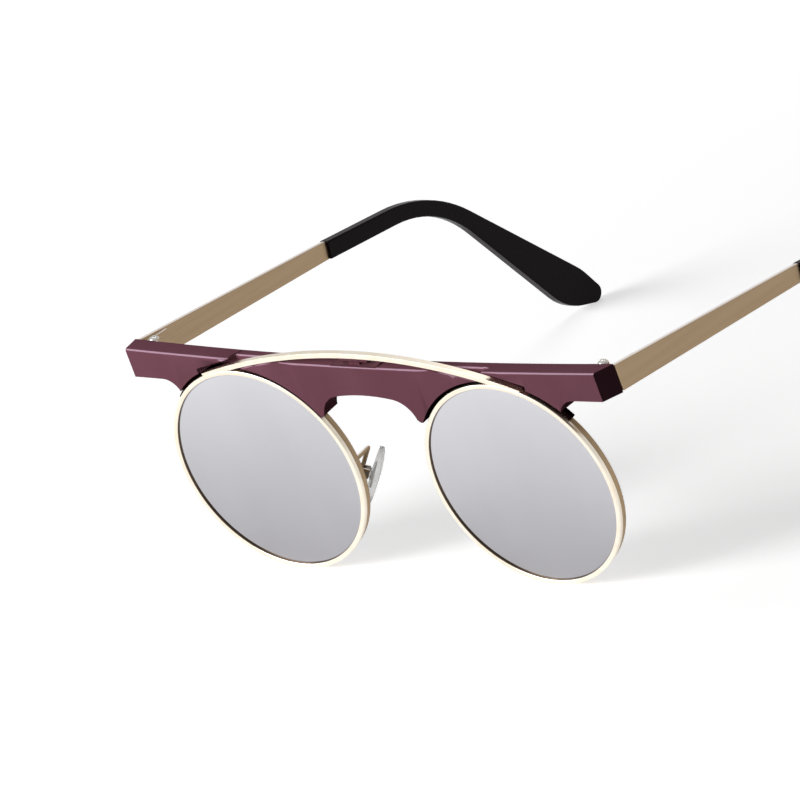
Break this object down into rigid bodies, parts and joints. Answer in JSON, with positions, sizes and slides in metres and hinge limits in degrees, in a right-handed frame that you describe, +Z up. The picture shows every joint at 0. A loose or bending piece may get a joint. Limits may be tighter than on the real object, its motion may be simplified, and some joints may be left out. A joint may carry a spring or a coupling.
{
  "type": "flip up sunglasses",
  "caption": "Flip up sunglasses: brow bar with clear lenses, hinged wire with round mirrored lenses, folding temples and rocking nose pads.",
  "frame": {"origin": "on the surface the glasses stand on, under the middle of their bounding box", "axes": "+X towards the wearer's left, +Y back along the open temples, +Z up"},
  "size_m": [0.1352, 0.1545, 0.0556],
  "materials": {
    "plum_acetate": "polished",
    "pale_gold": "polished",
    "tan_gold": "satin",
    "mirror_lens": "polished",
    "clear_lens": "polished",
    "dark_metal": "satin",
    "steel": "satin",
    "dark_acetate": "polished",
    "silicone": "clear satin",
    "clear_plastic": "polished"
  },
  "bodies": {
    "frame": {"brow_bar": "plum_acetate", "left_rear_rim": "tan_gold", "right_rear_rim": "tan_gold", "left_clear_lens": "clear_lens", "right_clear_lens": "clear_lens", "flip_hinge_base": "dark_metal", "flip_base_screws": "dark_metal", "left_hinge_plate": "tan_gold", "right_hinge_plate": "tan_gold", "hinge_plate_screws": "steel", "left_hinge_screw": "steel", "right_hinge_screw": "steel", "left_pad_arm": "tan_gold", "right_pad_arm": "tan_gold", "left_pad_screw": "steel", "right_pad_screw": "steel"},
    "flip_front": {"arch_wire": "pale_gold", "left_front_rim": "pale_gold", "right_front_rim": "pale_gold", "left_mirror_lens": "mirror_lens", "right_mirror_lens": "mirror_lens", "flip_hinge_leaf": "dark_metal", "flip_hinge_pin": "steel"},
    "left_temple_arm": {"left_temple": "tan_gold", "left_temple_leaf": "tan_gold", "left_temple_tip": "dark_acetate"},
    "right_temple_arm": {"right_temple": "tan_gold", "right_temple_leaf": "tan_gold", "right_temple_tip": "dark_acetate"},
    "left_pad": {"left_nose_pad": "silicone", "left_pad_stud": "clear_plastic"},
    "right_pad": {"right_nose_pad": "silicone", "right_pad_stud": "clear_plastic"}
  },
  "joints": [
    {"name": "flip_up", "type": "hinge", "parent": "frame", "child": "flip_front", "pos_m": [0, -0.07579, 0.05363], "axis": [-1, 0, 0], "range_deg": [0, 90]},
    {"name": "left_temple_fold", "type": "hinge", "parent": "frame", "child": "left_temple_arm", "pos_m": [0.0628, -0.06847, 0.05007], "axis": [0, -0.153, 0.9882], "range_deg": [0, 90]},
    {"name": "right_temple_fold", "type": "hinge", "parent": "frame", "child": "right_temple_arm", "pos_m": [-0.0628, -0.06847, 0.05007], "axis": [0, 0.153, -0.9882], "range_deg": [0, 86]},
    {"name": "left_pad_rock", "type": "hinge", "parent": "frame", "child": "left_pad", "pos_m": [0.01397, -0.06557, 0.02229], "axis": [0.5022, 0.8641, 0.033], "range_deg": [-6, 6]},
    {"name": "right_pad_rock", "type": "hinge", "parent": "frame", "child": "right_pad", "pos_m": [-0.01397, -0.06557, 0.02229], "axis": [-0.5022, 0.8641, 0.033], "range_deg": [-6, 6]}
  ]
}
